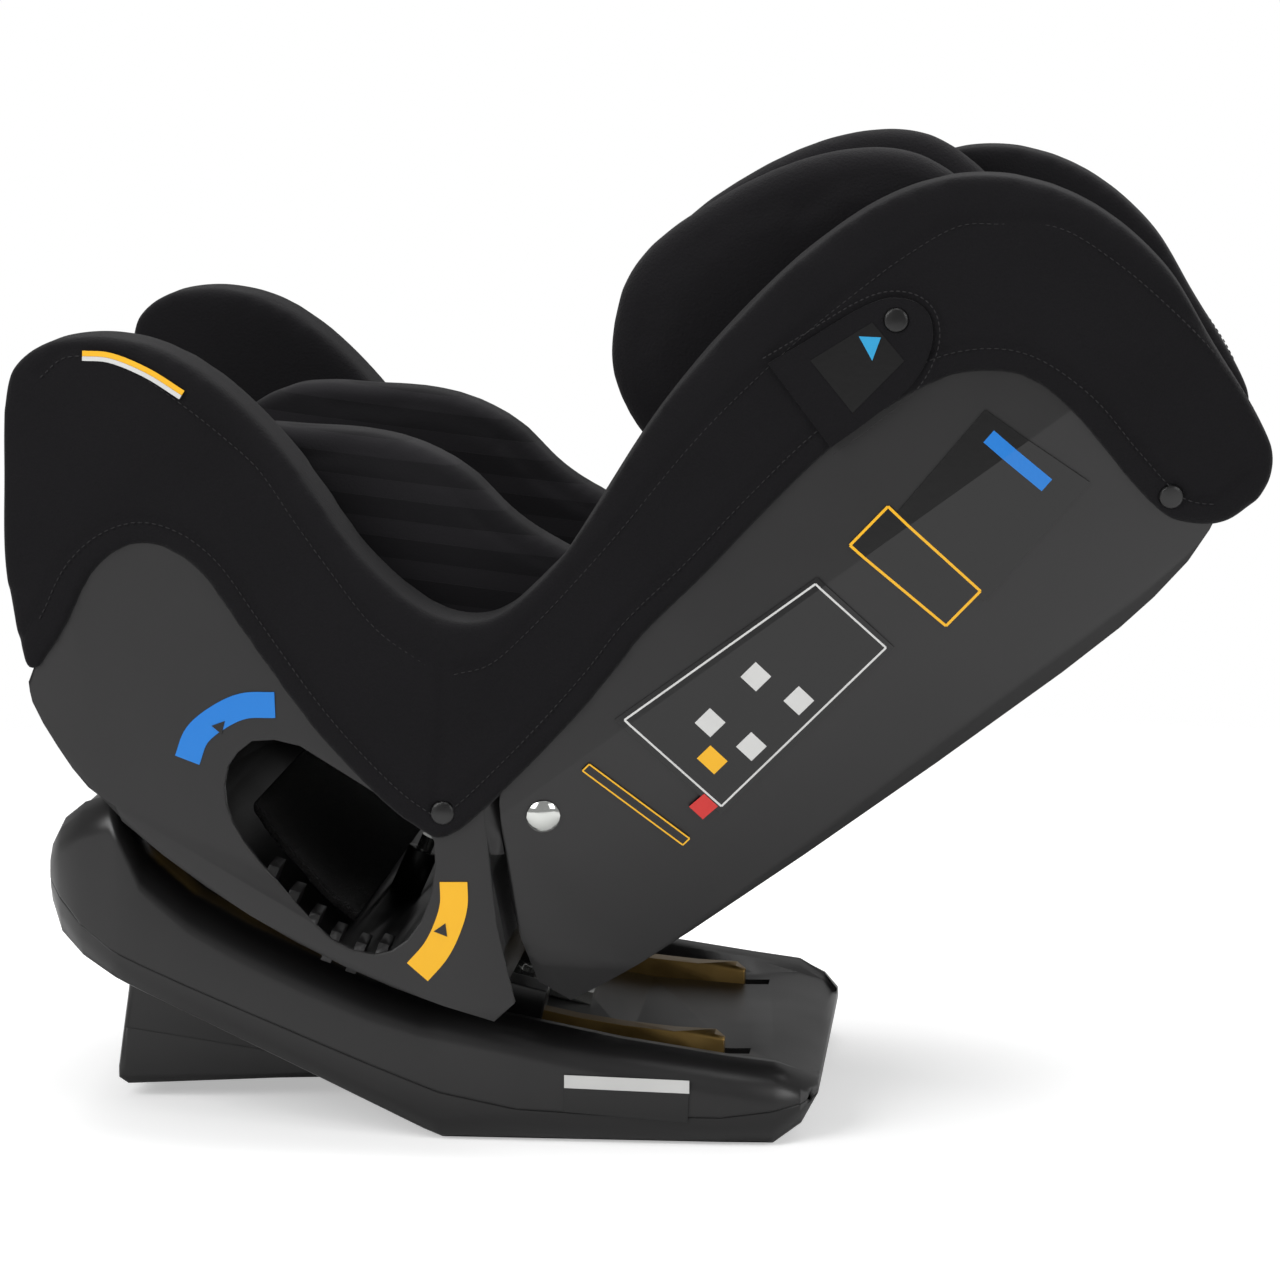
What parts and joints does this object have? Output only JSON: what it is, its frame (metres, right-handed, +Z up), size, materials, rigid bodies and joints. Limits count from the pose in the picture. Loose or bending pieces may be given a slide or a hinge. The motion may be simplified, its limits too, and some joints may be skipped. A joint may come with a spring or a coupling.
{
  "type": "convertible child car seat",
  "caption": "Reclining child car seat: padded shell with deep side wings, sliding headrest and harness on curved metal rails over a plastic base with a swing-out foot.",
  "frame": {"origin": "centre of the outer bounding box in X and Y, at the height of the resting face", "axes": "+X towards the back of the seat, -X the way the child faces, +Y the child's right, +Z up; symmetric about Y = 0"},
  "size_m": [0.7536, 0.4642, 0.603],
  "materials": {
    "base_plastic": "satin",
    "shell_plastic": "satin",
    "black_plastic": "satin",
    "rail_steel": "satin",
    "bright_steel": "polished",
    "cover_fabric": "matte",
    "insert_fabric": "matte",
    "webbing": "matte",
    "red_plastic": "gloss"
  },
  "bodies": {
    "base": {"base_upper_housing": "base_plastic", "base_lower_housing": "base_plastic", "foot_pivot_rod": "bright_steel", "rail_left": "rail_steel", "rail_right": "rail_steel", "rail_bolt_left_front": "bright_steel", "rail_bolt_left_rear": "bright_steel", "rail_bolt_right_front": "bright_steel", "rail_bolt_right_rear": "bright_steel", "recline_rack": "bright_steel"},
    "seat": {"bucket_shell": "shell_plastic", "back_shell": "shell_plastic", "rivet_left": "bright_steel", "runner_left": "black_plastic", "rivet_right": "bright_steel", "runner_right": "black_plastic", "belt_path_pad": "cover_fabric", "side_cover_left": "cover_fabric", "side_cover_right": "cover_fabric", "seat_cushion": "cover_fabric", "back_cushion": "cover_fabric", "insert_seat_pad": "insert_fabric", "insert_back_pad": "insert_fabric", "insert_bolster_left": "insert_fabric", "insert_bolster_right": "insert_fabric", "shoulder_strap_left": "webbing", "lap_strap_left": "webbing", "buckle_tongue_left": "bright_steel", "shoulder_pad_left": "insert_fabric", "shoulder_strap_right": "webbing", "lap_strap_right": "webbing", "buckle_tongue_right": "bright_steel", "shoulder_pad_right": "insert_fabric", "buckle_housing": "shell_plastic", "crotch_strap": "webbing", "harness_yoke": "bright_steel", "adjuster_webbing": "webbing", "adjuster_housing": "shell_plastic", "snap_front_left": "black_plastic", "snap_rear_left": "black_plastic", "snap_front_right": "black_plastic", "snap_rear_right": "black_plastic"},
    "foot": {"swing_foot": "base_plastic", "foot_tread": "black_plastic"},
    "buckle_button": {"buckle_button": "red_plastic"},
    "adjuster_button": {"adjuster_button": "black_plastic"},
    "headrest": {"headrest_plate": "shell_plastic", "headrest_centre_pad": "insert_fabric", "headrest_wing_left": "cover_fabric", "headrest_wing_right": "cover_fabric", "headrest_carriage": "shell_plastic"},
    "headrest_release": {"headrest_release": "black_plastic"},
    "flap_left": {"side_flap_left": "cover_fabric", "flap_snap_left": "black_plastic"},
    "flap_right": {"side_flap_right": "cover_fabric", "flap_snap_right": "black_plastic"},
    "recline_handle": {"recline_handle": "black_plastic"},
    "latch_pin": {"latch_pin": "bright_steel"}
  },
  "joints": [
    {"name": "recline", "type": "hinge", "parent": "base", "child": "seat", "pos_m": [0.059, 0, 0.617], "axis": [0, -1, 0], "range_deg": [0, 10.7]},
    {"name": "foot_swing", "type": "hinge", "parent": "base", "child": "foot", "pos_m": [-0.145, 0, 0.01], "axis": [0, -1, 0], "range_deg": [0, 172]},
    {"name": "headrest_slide", "type": "slide", "parent": "seat", "child": "headrest", "axis": [0.807, 0, 0.5906], "range_m": [0, 0.12]},
    {"name": "headrest_release_press", "type": "slide", "parent": "headrest", "child": "headrest_release", "axis": [0.807, 0, 0.5906], "range_m": [0, 0.008], "stiffness_N_per_m": 600},
    {"name": "recline_handle_pull", "type": "slide", "parent": "seat", "child": "recline_handle", "axis": [-0.8387, 0, -0.5446], "range_m": [0, 0.015], "stiffness_N_per_m": 800},
    {"name": "latch_pin_lift", "type": "slide", "parent": "seat", "child": "latch_pin", "axis": [0.4067, 0, 0.9135], "range_m": [0, 0.01], "stiffness_N_per_m": 200},
    {"name": "buckle_button_press", "type": "slide", "parent": "seat", "child": "buckle_button", "axis": [-0.5299, 0, -0.848], "range_m": [0, 0.003], "stiffness_N_per_m": 1500},
    {"name": "adjuster_button_press", "type": "slide", "parent": "seat", "child": "adjuster_button", "axis": [-0.5299, 0, -0.848], "range_m": [0, 0.004], "stiffness_N_per_m": 900},
    {"name": "flap_left_lift", "type": "hinge", "parent": "seat", "child": "flap_left", "pos_m": [0.09873, -0.2298, 0.45576], "axis": [0.5906, 0, -0.807], "range_deg": [0, 110]},
    {"name": "flap_right_lift", "type": "hinge", "parent": "seat", "child": "flap_right", "pos_m": [0.09873, 0.2298, 0.45576], "axis": [-0.5906, 0, 0.807], "range_deg": [0, 110]}
  ],
  "couplings": [
    {"joint": "latch_pin_lift", "follows": "recline_handle_pull", "ratio": 0.6667}
  ]
}
